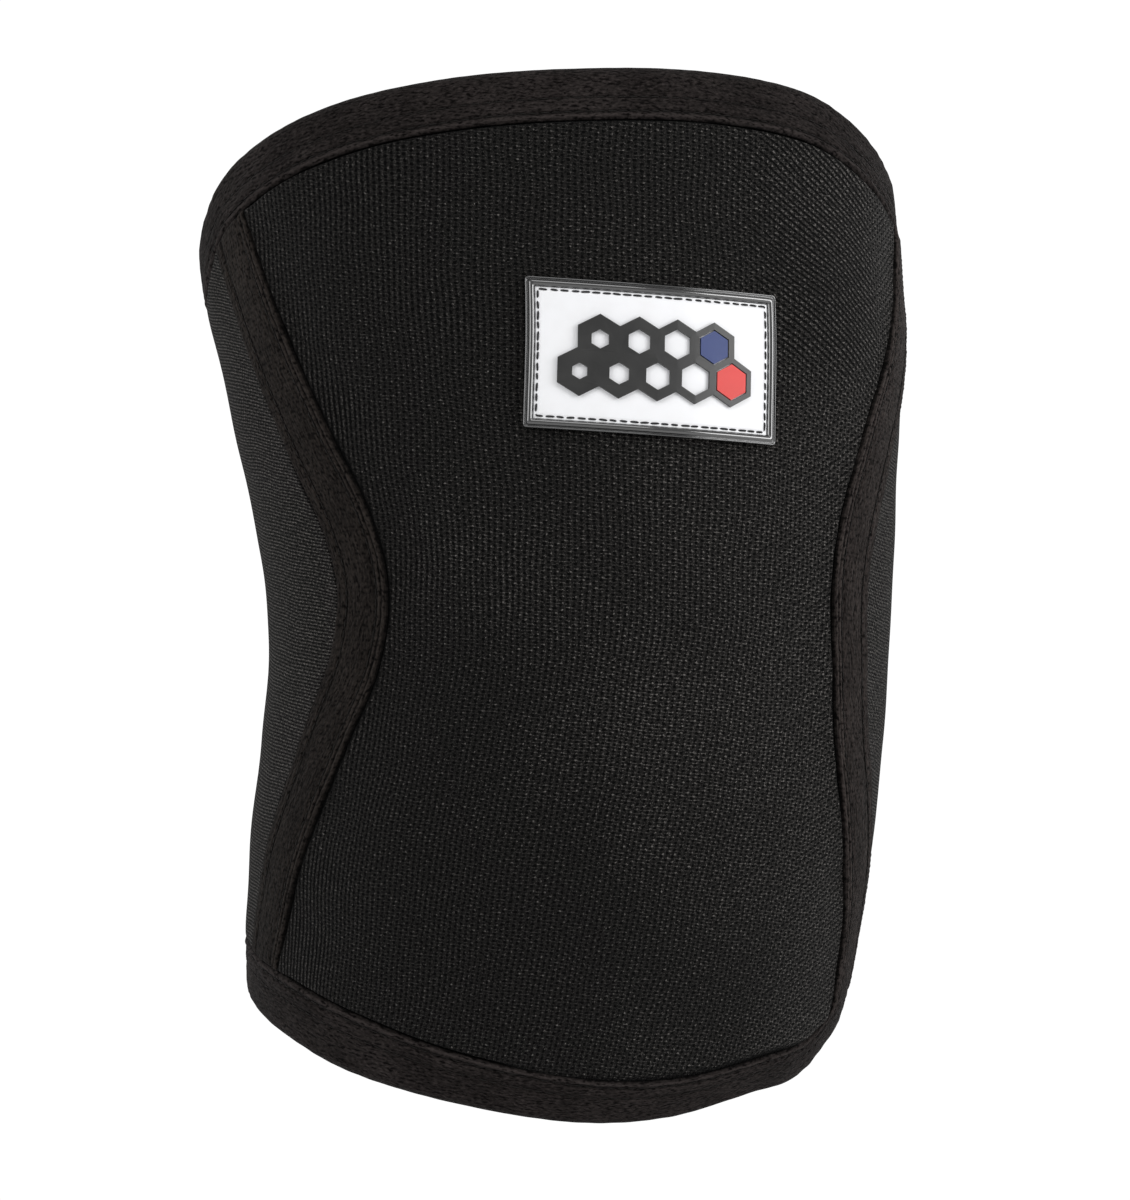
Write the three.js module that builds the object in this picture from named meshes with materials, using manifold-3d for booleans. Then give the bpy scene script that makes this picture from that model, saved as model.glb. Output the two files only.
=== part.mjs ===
// A knee sleeve of thick double-faced foam cloth, in the form it takes on a slightly bent knee.
// Two panels, front and back, meet at two curved side seams. A tape covers each seam, a folded
// band binds the top and the bottom edge, and a moulded label sits on the front panel.
// Millimetres, +Z up the leg, the front of the knee faces -Y, the origin is inside the hollow at the knee line.
import * as THREE from "three";
import { mergeVertices } from "three/addons/utils/BufferGeometryUtils.js";
import Module from "manifold-3d";

// Driving sizes of the sleeve, in millimetres
const frontLength = 275; // bottom edge to top edge, down the middle of the front
const kneeHeight = 126; // the knee line above the bottom edge, at the front
const kneeWidth = 165; // side to side over the outside, at the knee line
const kneeDepth = 156; // front to back over the outside, at the knee line
const topDrop = 46; // how far the top edge falls from its front to its sides
const bottomRise = 32; // how far the bottom edge rises from its front to its sides
const kneecapRise = 3.5; // how far the kneecap pushes the front out
const kneecapWidth = 60;
const kneecapHeight = 74;
const wall = 6; // thickness of the foam cloth

// Driving sizes of what is sewn on
const clearance = 0.3; // between any two pieces that touch
const tapeWidth = 17;
const tapeThickness = 1.1;
const bandThickness = 1.2;
const topBandWidth = 14.4;
const bottomBandWidth = 16.4; // where it lies flattest
const bandRound = 3.4; // height of the rounded fold over the edge

// Driving sizes of the label
const labelWidth = 68;
const labelHeight = 39.6;
const labelHeightOnLeg = 72; // its middle above the knee line
const labelSide = 8.5; // its middle beside the middle of the front
const labelTurn = -3.8; // degrees, as it was sewn
const labelCorner = 2;
const frameWidth = 3; // of the moulded rim round the label's face
const frameThickness = 2.2;
const frameBevel = 0.5;
const faceThickness = 1;
const emblemThickness = 0.7;
const emblemMargin = 5; // clear face round the honeycomb
const cellWall = 1.3; // of the thinnest cell

// Facet lengths
const ringFacet = 8.6;
const rowFacet = 15;
const tapeFacet = 8.5;
const labelFacet = 4.5;

const { clamp, lerp } = THREE.MathUtils;
const degrees = Math.PI / 180;
const fullTurn = 2 * Math.PI;
const bottomFront = -kneeHeight;
const topFront = frontLength - kneeHeight;

// Cross-sections of the leg's outline over the sleeve. at is a share of frontLength from the bottom;
// width and shift are shares of kneeWidth, front, back and lean of kneeDepth.
const sections = [
  { at: 0.0, width: 0.868, front: 0.43, back: 0.49, shift: -0.06, lean: 0.15 },
  { at: 0.05, width: 0.921, front: 0.446, back: 0.512, shift: -0.047, lean: 0.128 },
  { at: 0.12, width: 0.958, front: 0.462, back: 0.535, shift: -0.034, lean: 0.096 },
  { at: 0.25, width: 1.007, front: 0.485, back: 0.548, shift: -0.024, lean: 0.04 },
  { at: 0.36, width: 1.006, front: 0.498, back: 0.52, shift: -0.01, lean: 0.01 },
  { at: 0.456, width: 1.004, front: 0.5, back: 0.49, shift: -0.001, lean: 0.0 },
  { at: 0.56, width: 1.033, front: 0.505, back: 0.515, shift: -0.003, lean: 0.016 },
  { at: 0.66, width: 1.079, front: 0.52, back: 0.555, shift: -0.011, lean: 0.05 },
  { at: 0.75, width: 1.116, front: 0.533, back: 0.58, shift: -0.017, lean: 0.086 },
  { at: 0.85, width: 1.124, front: 0.544, back: 0.592, shift: -0.028, lean: 0.13 },
  { at: 1.0, width: 1.11, front: 0.552, back: 0.598, shift: -0.036, lean: 0.2 },
];

// Heights of the two cut edges round the leg. angle is in degrees from the middle of the front,
// drop a share of topDrop below the front, rise a share of bottomRise above it,
// and hem the share of bottomBandWidth that shows, less where the bottom band curls in.
const rims = [
  { angle: -180, drop: 1.06, rise: 1.09, hem: 1.0 },
  { angle: -130, drop: 1.06, rise: 1.08, hem: 1.0 },
  { angle: -100, drop: 0.98, rise: 0.95, hem: 1.0 },
  { angle: -75, drop: 0.535, rise: 0.71, hem: 1.0 },
  { angle: -50, drop: 0.225, rise: 0.388, hem: 1.0 },
  { angle: -25, drop: 0.06, rise: 0.15, hem: 0.85 },
  { angle: 0, drop: 0.0, rise: 0.0, hem: 0.755 },
  { angle: 20, drop: 0.007, rise: 0.022, hem: 0.7 },
  { angle: 40, drop: 0.09, rise: 0.196, hem: 0.64 },
  { angle: 55, drop: 0.253, rise: 0.29, hem: 0.7 },
  { angle: 70, drop: 0.468, rise: 0.6, hem: 0.68 },
  { angle: 88, drop: 0.7, rise: 0.8, hem: 0.72 },
  { angle: 110, drop: 0.99, rise: 0.99, hem: 0.86 },
  { angle: 135, drop: 1.06, rise: 1.09, hem: 1.0 },
];

// The two side seams. at is a share of the way from the bottom edge to the top edge,
// left and right are degrees from the middle of the front.
const seams = [
  { at: 0.0, left: -82.5, right: 67.0 },
  { at: 0.07, left: -79.8, right: 68.5 },
  { at: 0.16, left: -74.3, right: 65.3 },
  { at: 0.28, left: -66.1, right: 56.9 },
  { at: 0.36, left: -60.3, right: 51.1 },
  { at: 0.43, left: -55.1, right: 48.6 },
  { at: 0.51, left: -52.4, right: 47.5 },
  { at: 0.58, left: -54.7, right: 50.2 },
  { at: 0.66, left: -59.8, right: 56.4 },
  { at: 0.76, left: -65.6, right: 65.7 },
  { at: 0.87, left: -71.3, right: 74.0 },
  { at: 1.0, left: -76.5, right: 78.5 },
];

// A smooth value of a table's column at a key, through every row.
function along(table, key, value, column) {
  const last = table.length - 2;
  let row = 0;
  while (row < last && value > table[row + 1][key]) row += 1;
  const slope = (i) => {
    const before = table[Math.max(i - 1, 0)];
    const after = table[Math.min(i + 1, table.length - 1)];
    return (after[column] - before[column]) / (after[key] - before[key]);
  };
  const start = table[row];
  const end = table[row + 1];
  const span = end[key] - start[key];
  const t = (value - start[key]) / span;
  return (
    start[column] * (1 + 2 * t) * (1 - t) ** 2 +
    end[column] * t * t * (3 - 2 * t) +
    span * (slope(row) * t * (1 - t) ** 2 - slope(row + 1) * t * t * (1 - t))
  );
}

// The rims' table with a turn added before and after it, so that it reads smoothly all the way round.
const allRound = [-360, 0, 360].flatMap((turn) => rims.map((row) => ({ ...row, angle: row.angle + turn })));

function atRim(angle, column) {
  const turned = Math.atan2(Math.sin(angle), Math.cos(angle)) / degrees;
  return along(allRound, "angle", turned, column);
}

// The heights round the leg of the sleeve's two edges.
const topEdge = (angle) => topFront - topDrop * atRim(angle, "drop");
const bottomEdge = (angle) => bottomFront + bottomRise * atRim(angle, "rise");

// The heights of the bands' sewn edges next to the panels. A band keeps its width square to its edge.
function bandSpan(edge, angle, width) {
  const slope = (edge(angle + 0.05) - edge(angle - 0.05)) / (0.1 * (kneeWidth / 2));
  return width * Math.hypot(1, slope);
}

const topSewn = (angle) => topEdge(angle) - bandSpan(topEdge, angle, topBandWidth);
const bottomSewn = (angle) => bottomEdge(angle) + bandSpan(bottomEdge, angle, bottomBandWidth) * atRim(angle, "hem");

// The outside of the sleeve at an angle round the leg and a height.
function skin(angle, height) {
  const at = (height - bottomFront) / frontLength;
  const size = (column) => along(sections, "at", at, column);
  const facing = Math.cos(angle);
  const depth = kneeDepth * (facing > 0 ? size("front") : size("back"));
  const sideways = (kneeWidth / 2) * size("width") * Math.sin(angle);
  const kneecap = Math.exp(-(((2 * sideways) / kneecapWidth) ** 2) - ((2 * height) / kneecapHeight) ** 2);
  return new THREE.Vector3(
    kneeWidth * size("shift") + sideways,
    kneeDepth * size("lean") - depth * facing - (facing > 0 ? kneecapRise * kneecap : 0),
    height,
  );
}

// The two directions along the skin at a point, in millimetres to a radian and to a millimetre of height.
function directions(angle, height) {
  const small = 0.002;
  return {
    round: skin(angle + small, height).sub(skin(angle - small, height)).divideScalar(2 * small),
    up: skin(angle, height + small).sub(skin(angle, height - small)).divideScalar(2 * small),
  };
}

// A point lifted off the skin along its outward normal.
function onSkin(angle, height, lift) {
  const { round, up } = directions(angle, height);
  return round.cross(up).normalize().multiplyScalar(lift).add(skin(angle, height));
}

// Where a walk over the skin ends, from an angle and a height, so many millimetres round and so many up.
function walk(angle, height, round, up) {
  const way = directions(angle, height);
  const aMillimetre = way.round.length();
  const slant = way.up.dot(way.round) / aMillimetre;
  const rise = up / Math.sqrt(way.up.lengthSq() - slant ** 2);
  return { angle: angle + (round - rise * slant) / aMillimetre, height: height + rise };
}

// Moves every corner of a geometry to where place puts it.
function fitted(geometry, place) {
  const corners = geometry.getAttribute("position");
  for (let i = 0; i < corners.count; i += 1) {
    const to = place(corners.getX(i), corners.getY(i), corners.getZ(i));
    corners.setXYZ(i, to.x, to.y, to.z);
  }
  geometry.computeVertexNormals();
  return geometry;
}

function piece(name, geometry, material) {
  const mesh = new THREE.Mesh(geometry, material);
  mesh.name = name;
  return mesh;
}

const girth = (fullTurn * kneeWidth * sections.at(-1).width) / 2;
const panelRows = Math.round(frontLength / rowFacet);
const bandChannel = bandThickness + 2 * clearance; // from the top of a band's fold to the edge that it covers

// How far round a side seam lies at a share of the panels' height. side is "left" or "right".
const seamAngle = (side, at) => along(seams, "at", at, side) * degrees;

// The heights of the panels' lower and upper edges, inside the bands.
function panelBottom(angle) {
  return lerp(bottomEdge(angle), bottomSewn(angle), bandChannel / bottomBandWidth) + clearance;
}

function panelTop(angle) {
  return lerp(topEdge(angle), topSewn(angle), bandChannel / topBandWidth) - clearance;
}

// A panel from one side seam round to the other, with half the seam's gap left at each.
function panelGeometry(from, to) {
  const columns = Math.round((girth * (to(0.5) - from(0.5))) / fullTurn / ringFacet) + 2;
  const grid = new THREE.BoxGeometry(1, 1, 1, columns, panelRows, 1);
  return fitted(grid, (x, y, z) => {
    const at = y + 0.5;
    const gap = clearance / kneeWidth;
    const angle = lerp(from(at) + gap, to(at) - gap, x + 0.5);
    return onSkin(angle, lerp(panelBottom(angle), panelTop(angle), at), (z - 0.5) * wall);
  });
}

// A height between the bands' sewn edges, with the clearance left at each.
function tapeHeight(angle, share) {
  return lerp(bottomSewn(angle) + clearance, topSewn(angle) - clearance, share);
}

// The point of a side seam at a share of its tape's length.
function seamPoint(side, share) {
  let angle = seamAngle(side, share);
  for (let i = 0; i < 4; i += 1) {
    const bottom = panelBottom(angle);
    angle = seamAngle(side, (tapeHeight(angle, share) - bottom) / (panelTop(angle) - bottom));
  }
  return { angle, height: tapeHeight(angle, share) };
}

// The tape over a side seam, from the bottom band's sewn edge to the top band's.
function tapeGeometry(side) {
  const middle = seamPoint(side, 0.5).angle;
  const rows = Math.round((topSewn(middle) - bottomSewn(middle)) / tapeFacet);
  const strips = Math.round(tapeWidth / 3.5);
  const grid = new THREE.BoxGeometry(tapeWidth, 1, tapeThickness, strips, rows, 1);
  return fitted(grid, (x, y, z) => {
    const share = y + 0.5;
    const before = seamPoint(side, share - 0.02);
    const here = seamPoint(side, share);
    const after = seamPoint(side, share + 0.02);
    const round = directions(here.angle, here.height).round.length();
    const lean = ((after.angle - before.angle) * round) / (after.height - before.height);
    const angle = here.angle + (x * Math.hypot(1, lean)) / round;
    return onSkin(angle, tapeHeight(angle, share), clearance + tapeThickness / 2 + z);
  });
}

// A band folded over one edge: an outer leaf, a rounded fold and an inner leaf round the panels' edge.
// edge and sewn give its fold's and its leaves' heights at an angle.
function bandGeometry(edge, sewn, width) {
  const middle = -wall / 2;
  const inside = wall / 2 + clearance;
  const outside = inside + bandThickness;
  const fold = [0, 0.2, 0.4, 0.6, 0.8, 1].map((share) => {
    const turn = share * Math.PI;
    return [middle + outside * Math.cos(turn), bandRound * (1 - Math.sin(turn))];
  });
  const outline = [
    [middle + outside, width],
    ...fold,
    [middle - outside, width],
    [middle - inside, width],
    [middle - inside, bandChannel],
    [middle + inside, bandChannel],
    [middle + inside, width],
    [middle + outside, width],
  ].map(([lift, depth]) => new THREE.Vector2(kneeWidth + lift, -depth));
  const upward = edge(0) > sewn(0);
  if (!upward) outline.reverse();
  const ring = new THREE.LatheGeometry(outline, Math.round(girth / ringFacet));
  return fitted(ring, (x, y, z) => {
    const angle = Math.atan2(x, z);
    const height = lerp(edge(angle), sewn(angle), -y / width);
    return onSkin(angle, height, Math.hypot(x, z) - kneeWidth);
  });
}

// A point of the label, from millimetres across and up it and off the front panel.
function onLabel(across, up, lift) {
  const turn = labelTurn * degrees;
  const middle = walk(0, labelHeightOnLeg, labelSide, 0);
  const raised = walk(middle.angle, middle.height, 0, across * Math.sin(turn) + up * Math.cos(turn));
  const place = walk(raised.angle, raised.height, across * Math.cos(turn) - up * Math.sin(turn), 0);
  return onSkin(place.angle, place.height, clearance + lift);
}

// A closed loop of points round a rectangle with rounded corners, close enough together to bend round the leg.
// Every loop of the label has the same number of points, whatever its size.
function labelLoop(width, height, corner) {
  const corners = [
    { right: 1, top: 1, start: 0, run: width - 2 * corner, facets: Math.round(labelWidth / labelFacet) },
    { right: -1, top: 1, start: 90, run: height - 2 * corner, facets: Math.round(labelHeight / labelFacet) },
    { right: -1, top: -1, start: 180, run: width - 2 * corner, facets: Math.round(labelWidth / labelFacet) },
    { right: 1, top: -1, start: 270, run: height - 2 * corner, facets: Math.round(labelHeight / labelFacet) },
  ];
  return corners.flatMap(({ right, top, start, run, facets }) => {
    const middle = new THREE.Vector2(right * (width / 2 - corner), top * (height / 2 - corner));
    const end = (start + 90) * degrees;
    const arc = new THREE.EllipseCurve(middle.x, middle.y, corner, corner, start * degrees, end).getPoints(3);
    const onward = new THREE.Vector2(-Math.sin(end), Math.cos(end));
    const straight = Array.from({ length: facets - 1 }, (_, i) =>
      arc.at(-1).clone().addScaledVector(onward, (run * (i + 1)) / facets),
    );
    return [...arc, ...straight];
  });
}

// The moulded rim round the label: a bevelled profile led round between an inner and an outer loop.
function frameGeometry() {
  const outer = labelLoop(labelWidth, labelHeight, labelCorner);
  const inner = labelLoop(labelWidth - 2 * frameWidth, labelHeight - 2 * frameWidth, labelCorner / 3);
  const profile = [
    [0, 0],
    [frameWidth, 0],
    [frameWidth, frameThickness - frameBevel],
    [frameWidth - frameBevel, frameThickness],
    [frameBevel, frameThickness],
    [0, frameThickness - frameBevel],
    [0, 0],
  ].map(([across, lift]) => new THREE.Vector2(labelWidth + across, lift));
  const ring = new THREE.LatheGeometry(profile, outer.length);
  return fitted(ring, (x, y, z) => {
    const turn = Math.atan2(x, z) / fullTurn + 1;
    const i = Math.round(turn * outer.length) % outer.length;
    const at = inner[i].clone().lerp(outer[i], (Math.hypot(x, z) - labelWidth) / frameWidth);
    return onLabel(at.x, at.y, y);
  });
}

const faceWidth = labelWidth - 2 * (frameWidth + clearance);
const faceHeight = labelHeight - 2 * (frameWidth + clearance);

// The label's pale face, inside its rim.
function faceGeometry() {
  const columns = Math.round(faceWidth / labelFacet);
  const plate = new THREE.BoxGeometry(faceWidth, faceHeight, faceThickness, columns, 4, 1);
  return fitted(plate, (x, y, z) => onLabel(x, y, faceThickness / 2 + z));
}

// The honeycomb on the face: cells in two rows, whose walls grow thicker from right to left.
const cellRows = [
  { cells: 5, level: -0.5 },
  { cells: 4, level: 0.5 },
];
const cellPitch = Math.min(
  (faceWidth - 2 * emblemMargin - cellWall) / 5,
  (faceHeight - 2 * emblemMargin - cellWall) / (2 / Math.sqrt(3) + Math.sqrt(3) / 2),
);
const thickestWall = 0.62; // of the leftmost cell, as a share of the cell

function cells() {
  return cellRows.flatMap(({ cells: count, level }) =>
    Array.from({ length: count }, (_, i) => ({
      across: (i - (count - 1) / 2) * cellPitch,
      up: level * cellPitch * (Math.sqrt(3) / 2),
    })),
  );
}

// How much of a cell is open, from its place across the label.
function openShare(across) {
  const share = clamp(across / (4 * cellPitch) + 0.5, 0, 1);
  return lerp(1 - thickestWall, 1 - cellWall / cellPitch, share);
}

function hexagon(acrossFlats) {
  const corner = acrossFlats / Math.sqrt(3);
  return Array.from({ length: 6 }, (_, i) => {
    const turn = (i + 0.5) * (fullTurn / 6);
    return new THREE.Vector2(corner * Math.cos(turn), corner * Math.sin(turn));
  });
}

// A hexagonal prism, or a ring if it has an opening, standing at a place on the face.
function prism(acrossFlats, opening, across, up) {
  const shape = new THREE.Shape(hexagon(acrossFlats));
  if (opening > 0) shape.holes.push(new THREE.Path(hexagon(opening)));
  const made = new THREE.ExtrudeGeometry(shape, { depth: emblemThickness, bevelEnabled: false });
  return made.translate(across, up, faceThickness + clearance);
}

const library = await Module();
library.setup();

// A closed geometry as a solid that can be joined to another.
function solid(geometry) {
  const bare = geometry.clone();
  bare.deleteAttribute("normal");
  bare.deleteAttribute("uv");
  const merged = mergeVertices(bare, 1e-4);
  return new library.Manifold(
    new library.Mesh({
      numProp: 3,
      vertProperties: new Float32Array(merged.getAttribute("position").array),
      triVerts: new Uint32Array(merged.index.array),
    }),
  );
}

function geometryOf(made) {
  const mesh = made.getMesh();
  return new THREE.BufferGeometry()
    .setAttribute("position", new THREE.BufferAttribute(new Float32Array(mesh.vertProperties), 3))
    .setIndex(new THREE.BufferAttribute(new Uint32Array(mesh.triVerts), 1));
}

// The whole honeycomb: rings that share their walls, joined into one.
function honeycombGeometry() {
  const rings = cells().map(({ across, up }) =>
    solid(prism(cellPitch + cellWall, cellPitch * openShare(across), across, up)),
  );
  const joined = rings.reduce((whole, ring) => whole.add(ring));
  return fitted(geometryOf(joined), onLabel);
}

// A coloured tile in one of the honeycomb's open cells.
function tileGeometry({ across, up }) {
  const tile = prism(cellPitch * openShare(across) - 2 * clearance, 0, across, up);
  return fitted(tile, onLabel);
}

// Materials
const outerCloth = new THREE.MeshStandardMaterial({ color: 0x1d1b1b, roughness: 0.9 });
const sideCloth = new THREE.MeshStandardMaterial({ color: 0x201e1e, roughness: 0.9 });
const bindingCloth = new THREE.MeshStandardMaterial({ color: 0x1e1a19, roughness: 0.95 });
const rimRubber = new THREE.MeshStandardMaterial({ color: 0x141414, roughness: 0.2 });
const faceRubber = new THREE.MeshStandardMaterial({ color: 0xf2f2f4, roughness: 0.45 });
const darkRubber = new THREE.MeshStandardMaterial({ color: 0x2c2c2b, roughness: 0.35 });
const redRubber = new THREE.MeshStandardMaterial({ color: 0xe2504e, roughness: 0.4 });
const blueRubber = new THREE.MeshStandardMaterial({ color: 0x3c4878, roughness: 0.4 });

const leftSeam = (at) => seamAngle("left", at);
const rightSeam = (at) => seamAngle("right", at);
const lowerCells = cells().slice(0, cellRows[0].cells);
const upperCells = cells().slice(cellRows[0].cells);

const sleeve = new THREE.Group();
sleeve.add(
  piece("front_panel", panelGeometry(leftSeam, rightSeam), outerCloth),
  piece("back_panel", panelGeometry(rightSeam, (at) => leftSeam(at) + fullTurn), sideCloth),
  piece("left_seam_tape", tapeGeometry("left"), bindingCloth),
  piece("right_seam_tape", tapeGeometry("right"), bindingCloth),
  piece("top_band", bandGeometry(topEdge, topSewn, topBandWidth), bindingCloth),
  piece("bottom_band", bandGeometry(bottomEdge, bottomSewn, bottomBandWidth), bindingCloth),
);

const label = new THREE.Group();
label.add(
  piece("label_frame", frameGeometry(), rimRubber),
  piece("label_face", faceGeometry(), faceRubber),
  piece("label_honeycomb", honeycombGeometry(), darkRubber),
  piece("label_tile_red", tileGeometry(lowerCells.at(-1)), redRubber),
  piece("label_tile_blue", tileGeometry(upperCells.at(-1)), blueRubber),
);
sleeve.add(label);

export default sleeve;
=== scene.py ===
"""A knee sleeve of black foam cloth, in the form it takes on a slightly bent knee. Blender 4.5.

Sizes are in millimetres and become metres where a mesh is made. +Z runs up the leg and -Y out of the knee's front.
"""
import math

import bmesh
import bpy
import numpy as np
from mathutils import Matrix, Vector


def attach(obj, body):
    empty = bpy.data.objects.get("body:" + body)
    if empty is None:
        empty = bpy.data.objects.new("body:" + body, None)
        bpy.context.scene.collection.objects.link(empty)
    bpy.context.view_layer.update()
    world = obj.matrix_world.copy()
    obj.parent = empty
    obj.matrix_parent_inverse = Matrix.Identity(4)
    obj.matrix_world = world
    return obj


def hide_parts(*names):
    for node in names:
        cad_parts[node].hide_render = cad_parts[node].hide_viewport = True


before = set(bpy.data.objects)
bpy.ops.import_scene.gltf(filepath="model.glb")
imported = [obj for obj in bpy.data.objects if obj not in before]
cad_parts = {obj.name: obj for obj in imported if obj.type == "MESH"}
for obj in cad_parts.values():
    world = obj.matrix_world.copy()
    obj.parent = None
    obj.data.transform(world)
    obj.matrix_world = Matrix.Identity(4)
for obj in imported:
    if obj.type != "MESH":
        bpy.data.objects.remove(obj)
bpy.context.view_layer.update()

MM = 0.001
TURN = 2 * math.pi

# The camera, at the photograph's angle
VIEW_TURN = -11  # degrees round the leg from straight ahead
VIEW_DISTANCE = 2000
VIEW_AIM = (-4, 10.6)  # the middle of the picture, to the right of the origin and above it
LENS, SENSOR = 225.4, 36

turned = math.radians(VIEW_TURN)
right = Vector((math.cos(turned), math.sin(turned), 0))
ahead = Vector((-math.sin(turned), math.cos(turned), 0))
camera = bpy.data.objects.new("camera", bpy.data.cameras.new("camera"))
camera.data.lens, camera.data.sensor_width = LENS, SENSOR
camera.location = (right * VIEW_AIM[0] - ahead * VIEW_DISTANCE + Vector((0, 0, VIEW_AIM[1]))) * MM
camera.rotation_euler = (math.pi / 2, 0, turned)
bpy.context.scene.collection.objects.link(camera)
bpy.context.scene.camera = camera

# Driving sizes of the sleeve
FRONT_LENGTH = 275
KNEE_HEIGHT = 126
KNEE_WIDTH = 165
KNEE_DEPTH = 156
TOP_DROP = 46
BOTTOM_RISE = 32
KNEECAP_RISE, KNEECAP_WIDTH, KNEECAP_HEIGHT = 3.5, 60, 74
WALL = 6
CLEARANCE = 0.3
TAPE_WIDTH = 17
BAND_THICKNESS, TOP_BAND_WIDTH, BOTTOM_BAND_WIDTH, BAND_ROUND = 1.2, 14.4, 16.4, 3.4
BOTTOM, TOP = -KNEE_HEIGHT, FRONT_LENGTH - KNEE_HEIGHT

# Driving sizes of the label
LABEL_WIDTH, LABEL_HEIGHT, LABEL_CORNER = 68, 39.6, 0.9
LABEL_HEIGHT_ON_LEG, LABEL_SIDE, LABEL_TURN = 72, 8.5, math.radians(-3.8)
FRAME_WIDTH, FACE_GAP, FACE_THICKNESS = 2.5, 0.12, 1
FACE_WIDTH = LABEL_WIDTH - 2 * (FRAME_WIDTH + FACE_GAP)
FACE_HEIGHT = LABEL_HEIGHT - 2 * (FRAME_WIDTH + FACE_GAP)


def table(heads, rows):
    """A table's columns by name."""
    return dict(zip(heads.split(), np.array(rows, float).T))


# The sleeve's sections, from the bottom edge (at 0) to the top edge (at 1). width and shift are shares of the knee's
# width, and the others are shares of its depth.
SECTIONS = table("at width front back shift lean", [
    (0.0, 0.868, 0.43, 0.49, -0.06, 0.15),
    (0.05, 0.921, 0.446, 0.512, -0.047, 0.128),
    (0.12, 0.958, 0.462, 0.535, -0.034, 0.096),
    (0.25, 1.007, 0.485, 0.548, -0.024, 0.04),
    (0.36, 1.006, 0.498, 0.52, -0.01, 0.01),
    (0.456, 1.004, 0.5, 0.49, -0.001, 0.0),
    (0.56, 1.033, 0.505, 0.515, -0.003, 0.016),
    (0.66, 1.079, 0.52, 0.555, -0.011, 0.05),
    (0.75, 1.116, 0.533, 0.58, -0.017, 0.086),
    (0.85, 1.124, 0.544, 0.592, -0.028, 0.13),
    (1.0, 1.11, 0.552, 0.598, -0.036, 0.2),
])
# The edges, by degrees from the middle of the front: the shares of the top's drop and of the bottom's rise that they
# have there, and the share of its width that the bottom binding shows.
RIMS = [
    (-180, 1.06, 1.09, 1.0),
    (-130, 1.06, 1.08, 1.0),
    (-100, 0.98, 0.95, 1.0),
    (-75, 0.535, 0.71, 1.0),
    (-50, 0.225, 0.388, 1.0),
    (-25, 0.06, 0.15, 0.85),
    (0, 0.0, 0.0, 0.755),
    (20, 0.007, 0.022, 0.7),
    (40, 0.09, 0.196, 0.64),
    (55, 0.253, 0.29, 0.7),
    (70, 0.468, 0.6, 0.68),
    (88, 0.7, 0.8, 0.72),
    (110, 0.99, 0.99, 0.86),
    (135, 1.06, 1.09, 1.0),
]
ALL_ROUND = table("angle drop rise hem", [(row[0] + turn, *row[1:]) for turn in (-360, 0, 360) for row in RIMS])
# The side seams' degrees from the middle of the front, from the bottom edge to the top edge
SEAMS = table("at left right", [
    (0.0, -82.5, 67.0),
    (0.07, -79.8, 68.5),
    (0.16, -74.3, 65.3),
    (0.28, -66.1, 56.9),
    (0.36, -60.3, 51.1),
    (0.43, -55.1, 48.6),
    (0.51, -52.4, 47.5),
    (0.58, -54.7, 50.2),
    (0.66, -59.8, 56.4),
    (0.76, -65.6, 65.7),
    (0.87, -71.3, 74.0),
    (1.0, -76.5, 78.5),
])

# How far the binding and the tape stand above or below their plain surface. off is from the sewn edge, or from the
# tape's back edge.
BAND_RELIEF = table("off lift", [
    (0.0, -1.0), (0.3, -0.5), (0.7, -0.05), (1.1, 0.14), (1.6, 0.0), (2.1, -0.4), (2.7, -0.05), (3.6, 0.12),
    (5.0, 0.1), (5.7, -0.14), (6.5, 0.1), (8.5, 0.16), (11.0, 0.1), (14.0, 0.0), (30.0, 0.0),
])
TAPE_RELIEF = table("off lift", [
    (0.0, -0.45), (0.35, -0.16), (1.0, 0.0), (2.0, 0.04), (3.2, 0.04), (3.9, -0.22), (4.7, 0.0), (8.5, 0.14),
    (12.6, 0.05), (13.8, -0.2), (14.4, 0.1), (14.9, 0.2), (15.4, -0.14), (15.9, 0.2), (16.5, 0.14), (17.0, -0.4),
])


def along(columns, key, value, column):
    """A smooth value of a column at a key, through every row."""
    keys, values = columns[key], columns[column]
    value = np.asarray(value, float)
    slopes = np.concatenate((
        [(values[1] - values[0]) / (keys[1] - keys[0])],
        (values[2:] - values[:-2]) / (keys[2:] - keys[:-2]),
        [(values[-1] - values[-2]) / (keys[-1] - keys[-2])],
    ))
    row = np.searchsorted(keys[1:-1], value)
    span = keys[row + 1] - keys[row]
    t = (value - keys[row]) / span
    ends = values[row] * (1 + 2 * t) * (1 - t) ** 2 + values[row + 1] * t * t * (3 - 2 * t)
    return ends + span * (slopes[row] * t * (1 - t) ** 2 - slopes[row + 1] * t * t * (1 - t))


def mix(start, end, share):
    return start + (end - start) * share


def at_rim(angle, column):
    return along(ALL_ROUND, "angle", np.degrees(np.arctan2(np.sin(angle), np.cos(angle))), column)


def top_edge(angle):
    return TOP - TOP_DROP * at_rim(angle, "drop")


def bottom_edge(angle):
    return BOTTOM + BOTTOM_RISE * at_rim(angle, "rise")


def band_span(edge, angle, width):
    """A binding's width measured straight up, which is more where its edge slants."""
    slope = (edge(angle + 0.05) - edge(angle - 0.05)) / (0.1 * KNEE_WIDTH / 2)
    return width * np.hypot(1, slope)


def top_sewn(angle):
    """The height of the top binding's sewn edge."""
    return top_edge(angle) - band_span(top_edge, angle, TOP_BAND_WIDTH)


def bottom_sewn(angle):
    """The height of the bottom binding's sewn edge."""
    return bottom_edge(angle) + band_span(bottom_edge, angle, BOTTOM_BAND_WIDTH) * at_rim(angle, "hem")


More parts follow.
